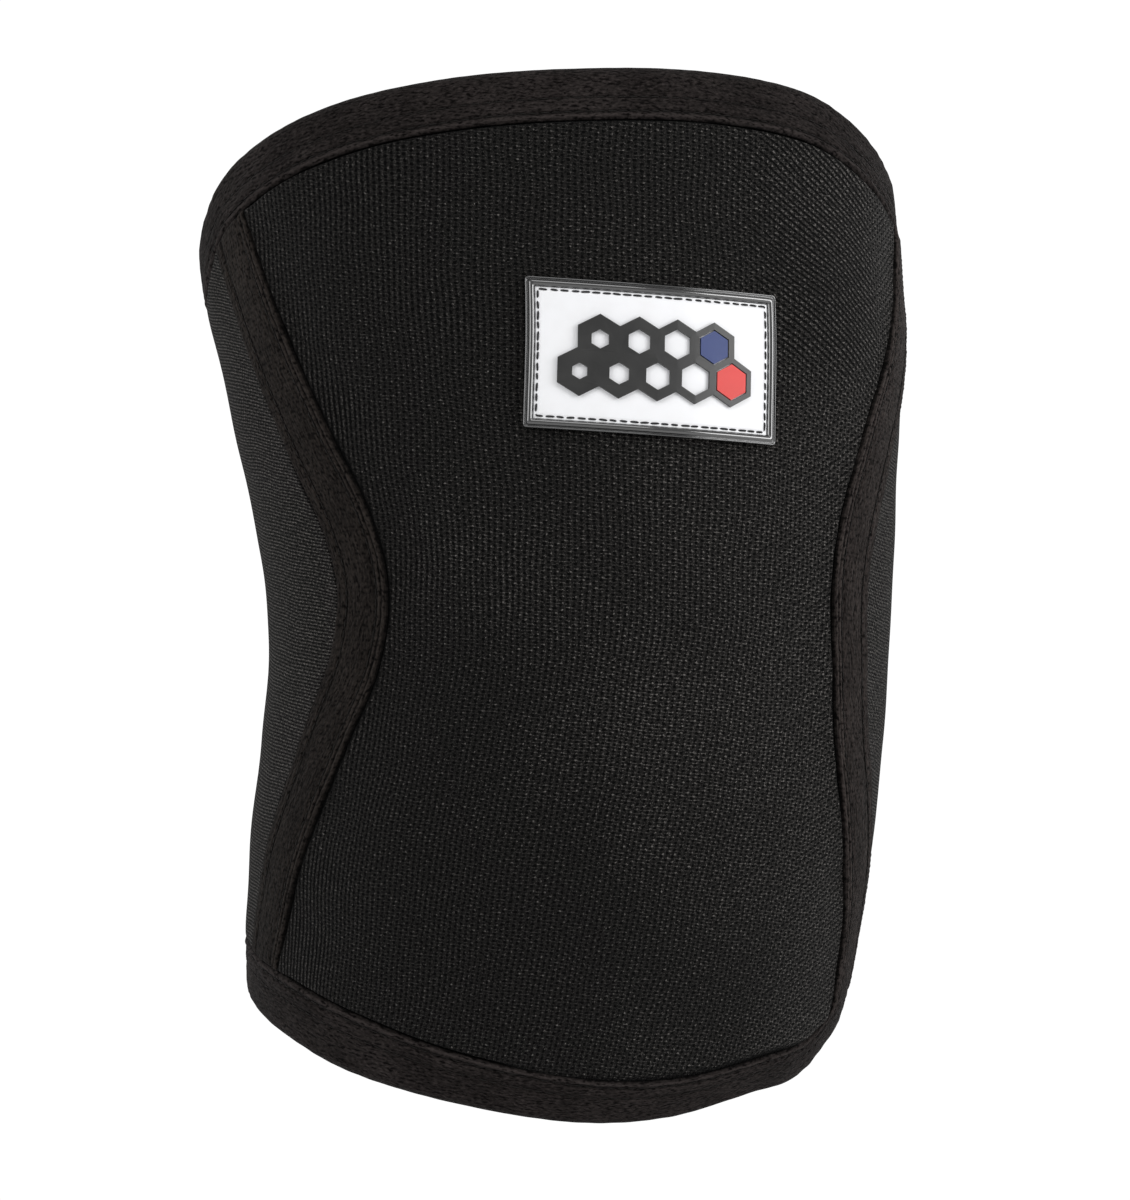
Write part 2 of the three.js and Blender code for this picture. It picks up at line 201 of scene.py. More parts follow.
def skin(angle, height):
    """The outside of the sleeve at angles round the leg and heights."""
    at = (height - BOTTOM) / FRONT_LENGTH
    size = {column: along(SECTIONS, "at", at, column) for column in ("width", "front", "back", "shift", "lean")}
    facing = np.cos(angle)
    depth = KNEE_DEPTH * np.where(facing > 0, size["front"], size["back"])
    sideways = KNEE_WIDTH / 2 * size["width"] * np.sin(angle)
    kneecap = np.exp(-((2 * sideways / KNEECAP_WIDTH) ** 2) - (2 * height / KNEECAP_HEIGHT) ** 2)
    x = KNEE_WIDTH * size["shift"] + sideways
    y = KNEE_DEPTH * size["lean"] - depth * facing - np.where(facing > 0, KNEECAP_RISE * kneecap, 0)
    return np.stack(np.broadcast_arrays(x, y, height + 0 * x), axis=-1)


def directions(angle, height):
    """The ways round the leg and up it, in millimetres to a radian and to a millimetre of height."""
    small = 0.002
    way_round = (skin(angle + small, height) - skin(angle - small, height)) / (2 * small)
    way_up = (skin(angle, height + small) - skin(angle, height - small)) / (2 * small)
    return way_round, way_up


def unit(vectors):
    return vectors / np.linalg.norm(vectors, axis=-1, keepdims=True)


def outward(angle, height):
    return unit(np.cross(*directions(angle, height)))


def on_skin(angle, height, lift):
    angle, height, lift = np.broadcast_arrays(angle, height, lift)
    return skin(angle, height) + outward(angle, height) * lift[..., None]


def walk(angle, height, across, up):
    """Where a walk over the skin ends, so many millimetres round and so many up."""
    way_round, way_up = directions(angle, height)
    millimetre = np.linalg.norm(way_round, axis=-1)
    slant = (way_up * way_round).sum(axis=-1) / millimetre
    rise = up / np.sqrt((way_up**2).sum(axis=-1) - slant**2)
    return angle + (across - rise * slant) / millimetre, height + rise


def lengths(points):
    """How far each point of a line is from its first, along it."""
    steps = np.linalg.norm(np.diff(points, axis=0), axis=-1)
    return np.concatenate(([0], np.cumsum(steps)))


def ripple(across, up, size, seed):
    """A smooth uneven surface of height about -1 to 1, with swellings of a size."""
    chance = np.random.default_rng(seed)
    total = 0
    for _ in range(7):
        way, phase, scale = chance.uniform(0, TURN), chance.uniform(0, TURN), chance.uniform(0.7, 1.5)
        total = total + np.sin(TURN * scale / size * (across * math.cos(way) + up * math.sin(way)) + phase)
    return total / 3.5


BAND_CHANNEL = BAND_THICKNESS + 2 * CLEARANCE  # from a binding's edge to the bottom of its channel


def panel_bottom(angle):
    return mix(bottom_edge(angle), bottom_sewn(angle), BAND_CHANNEL / BOTTOM_BAND_WIDTH) + CLEARANCE


def panel_top(angle):
    return mix(top_edge(angle), top_sewn(angle), BAND_CHANNEL / TOP_BAND_WIDTH) - CLEARANCE


def seam_angle(side, at):
    return np.radians(along(SEAMS, "at", at, side))


def tape_height(angle, share):
    """A height between the two bindings."""
    return mix(bottom_sewn(angle) + CLEARANCE, top_sewn(angle) - CLEARANCE, share)


def seam_point(side, share):
    """The angles and heights of a side seam at shares of its tape's length."""
    angle = seam_angle(side, share)
    for _ in range(4):
        bottom = panel_bottom(angle)
        angle = seam_angle(side, (tape_height(angle, share) - bottom) / (panel_top(angle) - bottom))
    return angle, tape_height(angle, share)


class Field:
    """A value that changes over a surface. Its arithmetic adds Math nodes."""

    def __init__(self, finish, socket):
        self.finish, self.socket = finish, socket

    def math(self, operation, *others):
        return self.finish.node("ShaderNodeMath", {"operation": operation}, dict(enumerate((self, *others))))

    def __add__(self, other):
        return self.math("ADD", other)

    def __sub__(self, other):
        return self.math("SUBTRACT", other)

    def __rsub__(self, other):
        return self.finish.node("ShaderNodeMath", {"operation": "SUBTRACT"}, {0: other, 1: self})

    def __mul__(self, other):
        return self.math("MULTIPLY", other)

    def __truediv__(self, other):
        return self.math("DIVIDE", other)

    __radd__, __rmul__ = __add__, __mul__

    def near(self, value, width):
        """1 at a value, falling smoothly to 0 a width away on both sides."""
        return (self - value).math("ABSOLUTE").eased(width, 0.0)

    def wave(self, length):
        """A cosine of a wavelength, from -1 to 1."""
        return (self * (TURN / length)).math("COSINE")

    def eased(self, low, high):
        """0 below low, 1 above high and smooth between. It falls where low is the greater."""
        settings = {"interpolation_type": "SMOOTHSTEP"}
        return self.finish.node("ShaderNodeMapRange", settings, {0: self, 1: low, 2: high, 3: 0.0, 4: 1.0})


class Finish:
    """A material: its nodes, its main shader and the places on its surface."""

    def __init__(self, name, **constants):
        self.material = bpy.data.materials.new(name)
        self.material.use_nodes = True
        self.tree = self.material.node_tree
        self.shader = self.tree.nodes["Principled BSDF"]
        for socket, value in constants.items():
            self.shader.inputs[socket.replace("_", " ")].default_value = value

    def node(self, kind, settings=None, sockets=None, output=0):
        made = self.tree.nodes.new(kind)
        for name, value in (settings or {}).items():
            setattr(made, name, value)
        for name, value in (sockets or {}).items():
            self.feed(made.inputs[name], value)
        return Field(self, made.outputs[output])

    def feed(self, socket, value):
        if isinstance(value, Field):
            self.tree.links.new(value.socket, socket)
        else:
            socket.default_value = value

    def show(self, **inputs):
        for name, value in inputs.items():
            self.feed(self.shader.inputs[name.replace("_", " ")], value)
        return self.material

    def place(self):
        """Where a point lies on the cloth, in millimetres, with painted crease shade as its third part."""
        return self.node("ShaderNodeAttribute", {"attribute_name": "cloth"}, output=1)

    def part(self, vector, axis):
        return self.node("ShaderNodeSeparateXYZ", {}, {0: vector}, output="XYZ".index(axis))

    def vector(self, x, y):
        return self.node("ShaderNodeCombineXYZ", {}, {0: x, 1: y})

    def noise(self, where, size, detail=2.0, roughness=0.5):
        """Clouds of a size in millimetres, with values about 0.5."""
        sockets = {"Vector": where, "Scale": 1 / size, "Detail": detail, "Roughness": roughness}
        return self.node("ShaderNodeTexNoise", {}, sockets)

    def blend(self, share, start, end):
        """A colour between two."""
        sockets = {0: share, 6: self.full(start), 7: self.full(end)}
        return self.node("ShaderNodeMix", {"data_type": "RGBA", "clamp_factor": True}, sockets, output=2)

    def full(self, colour):
        return colour if isinstance(colour, Field) else (*colour, 1)

    def bumped(self, height, depth, strength=1.0):
        """The surface's direction where it is raised by height times a depth in millimetres."""
        return self.node("ShaderNodeBump", {}, {"Strength": strength, "Distance": depth * MM, "Height": height})


# Finishes. A colour is linear light reflected.
PORE_PITCH, PORE_ROW = 1.55, 0.89  # between the coarse cloth's columns of pores and its rows


def woven_finish(name, rib_bias, lean, rows, pore, yarn, lit):
    """Coarse open cloth: staggered pores in a fine net of yarn, which draws together into ribs in places.

    rows is 1 for cloth that shows its level yarns as lines, and 0 for cloth that shows its pores.
    """
    finish = Finish(name, Specular_IOR_Level=0.08, Sheen_Weight=0.02, Sheen_Roughness=0.45)
    place = finish.place()
    across, up = finish.part(place, "X"), finish.part(place, "Y")
    # Columns and rows that wander a little
    drift = finish.noise(place, 26, 1)
    shake = finish.noise(place, 3.1, 2, 0.6)
    shiver = finish.noise(place, 1.6, 1)
    u = across + up * -lean + drift * 3.0 + shake * 0.5
    v = up + across * 0.11 + drift * 2.6 + shiver * 0.3
    column, row = u.wave(2 * PORE_PITCH), v.wave(2 * PORE_ROW)
    squared = column * column
    brick = squared * squared * column * row
    lit_column = (u - 0.5).wave(2 * PORE_PITCH)
    lit_brick = lit_column * lit_column * lit_column * (v - 0.55).wave(2 * PORE_ROW)
    # Where the yarn is drawn into ribs, and the fine unevenness of the yarn itself
    rib = (across * -0.008 + finish.noise(place, 34, 1) * 1.6 + rib_bias).eased(0.3, 1.3)
    uneven = finish.noise(place, 0.7, 1) - 0.5
    grain = finish.noise(place, 0.42, 1, 0.6).eased(0.34, 0.68)
    shed = v.wave(PORE_ROW)
    # Slanting lines, which fall towards the right at the upper right and climb elsewhere
    climbing = (u / PORE_PITCH - v / PORE_ROW).wave(2.0)
    falling = (u / PORE_PITCH + v / PORE_ROW).wave(2.0)
    upper_right = up.eased(40, 80) * across.eased(90, 76)
    twill = climbing + (falling - climbing) * upper_right
    leaning = (across.eased(15, 75) + upper_right * across.eased(18, 48) * 0.9) * (1 - rows * 0.8)
    # What lies deep and what catches the light
    ribbed = rib * (squared * 1.3 - brick * 0.9 + shed * 0.12 - 0.45)
    holes = brick * (1 - rows * 0.6) + shed * (rows * 0.45)
    pores = (holes + uneven * 1.3 + ribbed + leaning * twill * 0.25).eased(0.08, 0.42)
    gaps = (brick * -1 + uneven * 1.2).eased(0.2, 0.7)
    knots = (lit_brick + uneven * 1.3).eased(0.3, 1.0)
    wefts = (shed * -1 + uneven * 2.0).eased(0.35, 1.1)
    wales = (squared + uneven * 0.9).eased(0.5, 0.0)
    chance = finish.noise(place, 1.3, 1).eased(0.36, 0.66)
    # Painted light: lighter towards the right and at the panel's middle heights, as the light falls there, with some
    # cloudy tone.
    stretched = (finish.noise(place, 55, 1) * 0.9 + across * 0.006 + up.near(5, 110) * 0.3 - 0.13).eased(0.2, 0.9)
    height = 0.4 - pores * 0.4 - gaps * 0.15 + knots * 0.3 + wefts * 0.15 + wales * (0.15 + rib * 0.2) + grain * 0.2
    net = (knots * 1.15 + wefts * 0.55) * (1 - rib * 0.85) + wales * (0.1 + rib * (0.8 - shed * 0.2))
    net = net + leaning * (twill * -1 + uneven).eased(0.0, 1.0) * 0.25 + wefts * (rows * 0.5)
    bright = net * (0.15 + chance * 0.85) * (0.05 + grain * 1.5) * (0.45 + stretched * 0.85)
    speck = finish.node("ShaderNodeTexVoronoi", {"voronoi_dimensions": "2D"}, {"Vector": place, "Scale": 1 / 13})
    # Painted shade: the cloth's third value darkens the creases, and where the painted light is less the cloth is a
    # little darker.
    dark = pores * 0.95 + gaps * 0.45 + (1 - grain) * 0.6 + (1 - stretched) * 0.12 + finish.part(place, "Z")
    return finish.show(
        Base_Color=finish.blend(dark, finish.blend(bright + speck.eased(0.016, 0.006) * 3, yarn, lit), pore),
        Normal=finish.bumped(height, 0.36),
        Roughness=0.74 + pores * 0.2,
    )


def jersey_finish(name, colour, light):
    """Fine smooth knit: columns of small V stitches."""
    finish = Finish(name, Roughness=0.85, Specular_IOR_Level=0.12, Sheen_Weight=0.03, Sheen_Roughness=0.5)
    place = finish.place()
    across, up = finish.part(place, "X"), finish.part(place, "Y")
    shake = finish.noise(place, 1.7, 2)
    wale = (across + shake * 0.2).wave(0.95)
    slope = wale.math("ABSOLUTE")
    course = (up + slope * 0.45 + shake * 0.25).wave(0.72)
    height = course * 0.5 + wale * 0.4 + finish.noise(place, 0.3, 2) * 0.5
    cloudy = finish.noise(place, 14, 3)
    tone = (height * 0.5 + cloudy * 0.7).eased(0.0, 1.0)
    return finish.show(Base_Color=finish.blend(tone, colour, light), Normal=finish.bumped(height, 0.16))


def foam_finish(name, colour, light):
    """The cut edge of the foam: fine cells."""
    finish = Finish(name, Roughness=0.9, Specular_IOR_Level=0.2)
    where = finish.node("ShaderNodeTexCoord", {}, {}, output=3)
    cells = finish.node("ShaderNodeTexVoronoi", {}, {"Vector": where, "Scale": 2600.0})
    return finish.show(
        Base_Color=finish.blend(cells, colour, light),
        Normal=finish.bumped(cells, 0.2, 0.6),
    )


def tape_finish(name, dark, warm, light, lengthwise, highlight_lines, shade_lines):
    """Soft knit tape: small loops drawn out along its length, with a fuzz of fine fibres, painted highlights on its
    ridges and painted shade in its grooves.
    """
    finish = Finish(name, Specular_IOR_Level=0.06, Sheen_Weight=0.02, Sheen_Roughness=0.5)
    place = finish.place()
    across, up = finish.part(place, "X"), finish.part(place, "Y")
    stretched = (across, up * 0.36) if lengthwise else (across * 0.42, up)
    drawn = finish.vector(*stretched)
    loops = finish.noise(drawn, 0.62, 2, 0.55)
    curls = finish.noise(drawn, 1.5, 2, 0.5)
    rows = (up + curls * 1.6 if lengthwise else up * 1.35 + across * 0.25 + curls * 1.6).wave(1.25)
    fuzz = finish.noise(place, 0.25, 2, 0.7)
    long_way = (across, up * 0.05) if lengthwise else (across * 0.07, up)
    streaks = finish.noise(finish.vector(*long_way), 0.9, 2).eased(0.3, 0.7)
    height = loops * 1.1 + curls * 0.5 + rows * 0.1 + fuzz * 0.22 + streaks * 0.35
    pits = (loops + curls * 0.4 + rows * 0.05).eased(0.72, 0.5)
    tops = (loops + fuzz * 0.25).eased(0.62, 0.86)
    cloudy = finish.noise(place, 15, 2)
    inward = across if lengthwise else up
    # Painted highlights on the ridges and painted shade in the grooves and the stitch lines.
    raised = sum(inward.near(at, width) * share for at, width, share in highlight_lines)
    painted_groove_shade = sum((inward + (curls - 0.5) * 0.4).near(at, width) * share for at, width, share in shade_lines)
    grain = finish.noise(drawn, 0.4, 1).eased(0.35, 0.68)
    # A tape's colour is also lighter towards its top.
    if lengthwise:
        raised = raised + up.eased(110, 250) * 0.2
    base = finish.blend(cloudy.eased(0.3, 0.7) * 0.25 + tops * 0.5 + streaks * 0.2 + grain * 0.15 + raised, warm, light)
    return finish.show(
        # Painted shade: the cloth's third value darkens the tape's ends in the bindings' creases.
        Base_Color=finish.blend(pits * 0.85 + painted_groove_shade + (1 - grain) * 0.2 + finish.part(place, "Z") * 0.9, base, dark),
        Normal=finish.bumped(height, 0.3),
        Roughness=0.8 + pits * 0.15,
    )


def thread_finish(name, colour, light, gloss):
    """Twisted sewing thread."""
    finish = Finish(name, Roughness=0.55, Specular_IOR_Level=gloss)
    place = finish.place()
    twist = (finish.part(place, "X") + finish.part(place, "Y") * 0.35).wave(0.28)
    fibres = finish.noise(place, 0.12, 2)
    height = twist * 0.6 + fibres
    return finish.show(
        Base_Color=finish.blend((twist * 0.3 + fibres).eased(0.2, 0.9), colour, light),
        Normal=finish.bumped(height, 0.05),
    )


def moulded_finish(name, colour, roughness, gloss, coat, grain, worn):
    """Soft moulded plastic, with a faint grain and handling marks."""
    finish = Finish(name, Specular_IOR_Level=gloss, Coat_Roughness=0.07, Coat_IOR=1.8)
    where = finish.node("ShaderNodeTexCoord", {}, {}, output=3)
    waves = finish.node("ShaderNodeTexNoise", {}, {"Vector": where, "Scale": 160.0, "Detail": 3.0})
    fine = finish.node("ShaderNodeTexNoise", {}, {"Vector": where, "Scale": 2400.0, "Detail": 2.0})
    return finish.show(
        Base_Color=finish.blend(waves.eased(0.35, 0.75) * 0.5 + fine * 0.15, colour, worn),
        Roughness=roughness + (waves - 0.5) * 0.18,
        Coat_Weight=coat,
        Normal=finish.bumped(fine + waves * 2.0, grain),
    )


# Where the tape and the binding catch the light or fall into shade: distance in, half width and strength.
TAPE_RIDGES = ((14.75, 0.5, 0.5), (16.1, 0.55, 0.6), (2.9, 0.6, 0.25))
TAPE_GROOVES = ((13.9, 0.5, 0.6), (15.42, 0.35, 0.7), (3.9, 0.6, 0.6), (17.0, 0.25, 0.7))
BAND_RIDGES = ((0.95, 0.7, 0.5), (3.1, 0.5, 0.12))
BAND_GROOVES = ((2.1, 0.5, 0.5), (5.7, 0.5, 0.3), (0.0, 0.3, 0.8))
front_cloth = woven_finish(
    "front_cloth", rib_bias=-0.75, lean=0.07, rows=0,
    pore=(0.0005, 0.0005, 0.0005), yarn=(0.0112, 0.0104, 0.0097), lit=(0.15, 0.141, 0.133),
)
side_cloth = woven_finish(
    "side_cloth", rib_bias=1.0, lean=0.6, rows=1,
    pore=(0.0006, 0.0006, 0.0005), yarn=(0.0145, 0.0134, 0.0124), lit=(0.125, 0.116, 0.108),
)
lining = jersey_finish("lining", (0.007, 0.007, 0.0075), (0.022, 0.0215, 0.022))
foam = foam_finish("foam", (0.006, 0.006, 0.006), (0.02, 0.02, 0.02))
# The two tapes are one cloth in two copies, with painted shade on the left one and painted light on the right one.
shaded_left_tape_cloth = tape_finish(
    "shaded_left_tape_cloth", (0.001, 0.0007, 0.0006), (0.0046, 0.0035, 0.003), (0.03, 0.0245, 0.0214),
    lengthwise=True, highlight_lines=TAPE_RIDGES, shade_lines=TAPE_GROOVES,
)
lit_right_tape_cloth = tape_finish(
    "lit_right_tape_cloth", (0.0014, 0.001, 0.0009), (0.0082, 0.0062, 0.0056), (0.048, 0.039, 0.036),
    lengthwise=True, highlight_lines=TAPE_RIDGES, shade_lines=TAPE_GROOVES,
)
band_cloth = tape_finish(
    "band_cloth", (0.0013, 0.0009, 0.0008), (0.0068, 0.0053, 0.0049), (0.038, 0.0315, 0.03),
    lengthwise=False, highlight_lines=BAND_RIDGES, shade_lines=BAND_GROOVES,
)
thread = thread_finish("thread", (0.003, 0.0025, 0.0023), (0.016, 0.0135, 0.012), 0.15)
label_thread = thread_finish("label_thread", (0.004, 0.004, 0.0045), (0.02, 0.02, 0.022), 0.4)
frame_gloss = moulded_finish("frame_gloss", (0.006, 0.006, 0.0065), 0.13, 0.9, 0.9, 0.0004, (0.009, 0.009, 0.009))
face_white = moulded_finish("face_white", (0.86, 0.865, 0.885), 0.42, 0.5, 0.06, 0.008, (0.8, 0.8, 0.81))
emblem_dark = moulded_finish("emblem_dark", (0.022, 0.022, 0.022), 0.36, 0.4, 0.04, 0.008, (0.035, 0.035, 0.034))
emblem_red = moulded_finish("emblem_red", (0.7, 0.05, 0.045), 0.42, 0.3, 0.02, 0.008, (0.62, 0.07, 0.06))
emblem_blue = moulded_finish("emblem_blue", (0.028, 0.05, 0.17), 0.42, 0.3, 0.02, 0.008, (0.04, 0.06, 0.18))


def add_piece(name, points, faces, cloth, finishes, nodes=(), finish_of=None, sharp=40):
    """A mesh from points in millimetres, riding on the sleeve. cloth is each point's place on its cloth, with painted
    crease shade as its third value.
    """
    mesh = bpy.data.meshes.new(name)
    mesh.from_pydata((points.reshape(-1, 3) * MM).tolist(), [], faces)
    for finish in finishes:
        mesh.materials.append(finish)
    if finish_of is not None:
        mesh.polygons.foreach_set("material_index", finish_of)
    places = mesh.attributes.new("cloth", "FLOAT_VECTOR", "POINT")
    places.data.foreach_set("vector", cloth.reshape(-1).astype(np.float32))
    shaped = bmesh.new()
    shaped.from_mesh(mesh)
    bmesh.ops.recalc_face_normals(shaped, faces=shaped.faces)
    shaped.to_mesh(mesh)
    shaped.free()
    mesh.shade_smooth()
    mesh.set_sharp_from_angle(angle=math.radians(sharp))
    piece = bpy.data.objects.new(name, mesh)
    bpy.context.scene.collection.objects.link(piece)
    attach(piece, "root")
    if nodes:
        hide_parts(*nodes)
    return piece


def quads(numbers):
    """The faces of a grid of numbered points."""
    corners = (numbers[:-1, :-1], numbers[:-1, 1:], numbers[1:, 1:], numbers[1:, :-1])
    return np.stack(corners, axis=-1).reshape(-1, 4).tolist()


def slab(outer, inner, step):
    """A closed sheet between a fine outer grid and an inner one with every step-th of its points.

    Returns the points, the faces and each face's side: 0 outer, 1 inner, 2 cut edge.
    """
    rows, columns = outer.shape[:2]
    fine = np.arange(rows * columns).reshape(rows, columns)
    coarse = inner[::step, ::step]
    wide = np.arange(coarse.shape[0] * coarse.shape[1]).reshape(coarse.shape[:2]) + rows * columns
    faces = quads(fine)
    sides = [0] * len(faces)
    faces += quads(wide[::-1])
    sides += [1] * (len(faces) - len(sides))
    for edge, far in ((fine[0], wide[0]), (fine[-1], wide[-1]), (fine[:, 0], wide[:, 0]), (fine[:, -1], wide[:, -1])):
        for i in range(len(far) - 1):
            faces.append([*edge[i * step:(i + 1) * step + 1].tolist(), int(far[i + 1]), int(far[i])])
    sides += [2] * (len(faces) - len(sides))
    return np.concatenate((outer.reshape(-1, 3), coarse.reshape(-1, 3))), faces, sides


def strided(cloth, step):
    """The places on the cloth of a slab's points."""
    return np.concatenate((cloth.reshape(-1, 3), cloth[::step, ::step].reshape(-1, 3)))


# How the cloth meets the bindings and the tapes: heights, then reaches over which they fade out
BAND_SWELLING, BAND_GROOVE, TAPE_SWELLING, CREASE_DEPTH = 1.4, 1.25, 0.38, 0.35
SWELLING_REACH, GROOVE_REACH, TAPE_SWELLING_REACH = 10, 0.4, 3
# The crease reaches also set how wide the painted shade in the creases spreads.
BAND_CREASE_REACH, TAPE_CREASE_REACH, TUCK_REACH = 0.5, 0.45, 6
EDGE_SLANT = 0.93  # distance from a binding's slanting edge to a millimetre of height
LINING_STEP, TAPE_STEP = 4, 5  # how much coarser the inner grid of a panel and of a tape is


def fading(distance, reach):
    """1 up to a distance of 0, falling over a reach towards 0."""
    return np.exp(-((np.maximum(distance, 0) / reach) ** 2))


def near_band(angle, height, reach):
    """1 at a binding's sewn edge, falling over a reach in millimetres towards 0."""
    return fading(np.minimum(height - bottom_sewn(angle), top_sewn(angle) - height) * EDGE_SLANT, reach)


def stepped(counts, stops):
    """Shares from 0 to 1, with so many even steps between each stop and the next."""
    ends = [np.linspace(first, last, count, endpoint=False) for first, last, count in zip(stops, stops[1:], counts)]
    return np.append(np.concatenate(ends), 1.0)


def add_panel(name, start, end, columns, rows, finish, node, seed):
    """A foam panel between two side seams, with the slight unevenness of cloth on a leg, sunk into creases beside the
    tapes and the bindings, where shade is painted too.
    """
    x, at = np.meshgrid(columns, rows)
    gap = CLEARANCE / KNEE_WIDTH
    angle = mix(start(at) + gap, end(at) - gap, x)
    height = mix(panel_bottom(angle), panel_top(angle), at)
    across = angle * KNEE_WIDTH / 2
    surface = skin(angle, height)
    from_seam = np.minimum(
        *(np.linalg.norm(surface[:, :, None] - surface[None, :, side], axis=-1).min(axis=-1) for side in (0, -1))
    )
    from_tape = from_seam - TAPE_WIDTH / 2
    # How far into a crease a point lies: it sinks the cloth there and paints shade into it.
    crease_with_painted_shade = np.maximum(fading(from_tape, TAPE_CREASE_REACH), near_band(angle, height, BAND_CREASE_REACH))
    swelling = BAND_SWELLING * near_band(angle, height, SWELLING_REACH)
    swelling -= BAND_GROOVE * near_band(angle, height, GROOVE_REACH)
    swelling += TAPE_SWELLING * fading(from_tape, TAPE_SWELLING_REACH)
    tuck = np.exp(-np.maximum(from_tape, 0) / TUCK_REACH) * ripple(across, height, 9, seed)
    uneven = 0.16 * ripple(across, height, 34, seed + 1) + 0.1 * tuck + swelling
    # The cloth's third value is painted shade, strongest in the creases beside the tapes and the bindings.
    cloth = np.stack((across, height, crease_with_painted_shade), axis=-1)
    outer = on_skin(angle, height, uneven - 0.1 - CREASE_DEPTH * crease_with_painted_shade)
    points, faces, sides = slab(outer, on_skin(angle, height, -WALL), LINING_STEP)
    cloth = strided(cloth, LINING_STEP)
    piece = add_piece(name, points, faces, cloth, (finish, lining, foam), (node,), sides)
    return piece


def left_seam(at):
    return seam_angle("left", at)


def right_seam(at):
    return seam_angle("right", at)


def left_seam_behind(at):
    return left_seam(at) + TURN


# The columns and rows stand closer where the creases run.
front_columns = stepped((4, 40, 152, 40, 4), (0, 0.033, 0.066, 0.934, 0.967, 1))
front_rows = stepped((4, 28, 212, 32, 4), (0, 0.045, 0.07, 0.935, 0.962, 1))
back_columns = stepped((4, 28, 192, 28, 4), (0, 0.02, 0.036, 0.964, 0.98, 1))
back_rows = stepped((4, 32, 168, 32, 4), (0, 0.055, 0.085, 0.925, 0.95, 1))
add_panel(
    "front_cloth_panel", left_seam, right_seam, front_columns, front_rows, front_cloth,
    node="front_panel", seed=3,
)
add_panel(
    "back_cloth_panel", right_seam, left_seam_behind, back_columns, back_rows, side_cloth,
    node="back_panel", seed=8,
)


def seam_strip(side, off, share):
    """Angles of points so far off a side seam, square to it."""
    before, here, after = (seam_point(side, share + step) for step in (-0.02, 0, 0.02))
    way_round = np.linalg.norm(directions(*here)[0], axis=-1)
    lean = (after[0] - before[0]) * way_round / (after[1] - before[1])
    return here[0] + off * np.hypot(1, lean) / way_round


TAPE_LIFT, TAPE_COLUMNS, TAPE_ROWS = 1.15, 60, 520
TAPE_UNDERSIDE = 0.15
TAPE_END_RISE, TAPE_END_DROP, TAPE_END_REACH = 0.7, 0.8, 0.6  # up to a binding's height, then down in its crease
LOOP_WIDTH, LOOP_LENGTH, LOOP_ROWS = 1.07, 1.7, 3  # of the overlocking
# The rows of stitches: how far in, pitches and lengths of a stitch
TAPE_SEAMS, TAPE_PITCH, TAPE_STITCH = (3.9, 13.8), 2.7, 2.3
BAND_SEAMS, BAND_PITCH, BAND_STITCH = (2.1, 5.7), 2.9, 2.5
ZIGZAG_PITCH, ZIGZAG_STITCH, ZIGZAG_SWAY = 2.2, 2.6, 2.4
STITCH_POINTS = 7
BAND_THREAD, TAPE_THREAD, LABEL_THREAD = 0.19, 0.2, 0.27  # radii


def add_tape(name, side, back, finish, node):
    """A seam's tape: lumpy overlocking at its back edge and a double fold at its front edge."""
    offs = np.linspace(-TAPE_WIDTH / 2, TAPE_WIDTH / 2, TAPE_COLUMNS + 1)
    off, share = np.meshgrid(offs, np.linspace(0, 1, TAPE_ROWS + 1))
    angle = seam_strip(side, off, share)
    height = tape_height(angle, share)
    line = lengths(skin(*seam_point(side, share[:, 0])))
    run = line[:, None] + 0 * off
    inward = TAPE_WIDTH / 2 + off * back
    relief = along(TAPE_RELIEF, "off", inward, "lift")
    number = np.floor(inward / LOOP_WIDTH)
    lumps = 0.5 - 0.5 * np.cos(TURN * inward / LOOP_WIDTH)
    lumps = lumps * (0.5 + 0.5 * np.cos(TURN * run / LOOP_LENGTH + math.pi * number))
    relief += np.where(inward < LOOP_ROWS * LOOP_WIDTH, 0.13 * lumps * (1 + 0.4 * ripple(inward, run, 5, 21)), 0)
    relief += 0.07 * ripple(inward * 2.2, run, 4.2, 22) + 0.05 * ripple(inward, run, 14, 23)
    # The tape's ends sink into the bindings' creases, with painted shade there.
    crease_with_painted_shade = near_band(angle, height, TAPE_END_REACH)
    risen = TAPE_END_RISE * near_band(angle, height, SWELLING_REACH)
    cloth = np.stack((inward, run, crease_with_painted_shade), axis=-1)
    outer = on_skin(angle, height, TAPE_LIFT + relief + risen - TAPE_END_DROP * crease_with_painted_shade)
    points, faces, _ = slab(outer, on_skin(angle, height, TAPE_UNDERSIDE), TAPE_STEP)
    add_piece(name, points, faces, strided(cloth, TAPE_STEP), (finish,), (node,), sharp=60)


add_tape("left_knit_tape", "left", 1, shaded_left_tape_cloth, "left_seam_tape")
add_tape("right_knit_tape", "right", -1, lit_right_tape_cloth, "right_seam_tape")

BAND_COLUMNS = 720
RELIEF_OUTSIDE, RELIEF_INSIDE = 1.14, -WALL - 1.45  # the lifts past which a binding's two leaves have their relief
FINE_LEAF = 7.2  # how far in from a sewn edge a binding's rows stand close


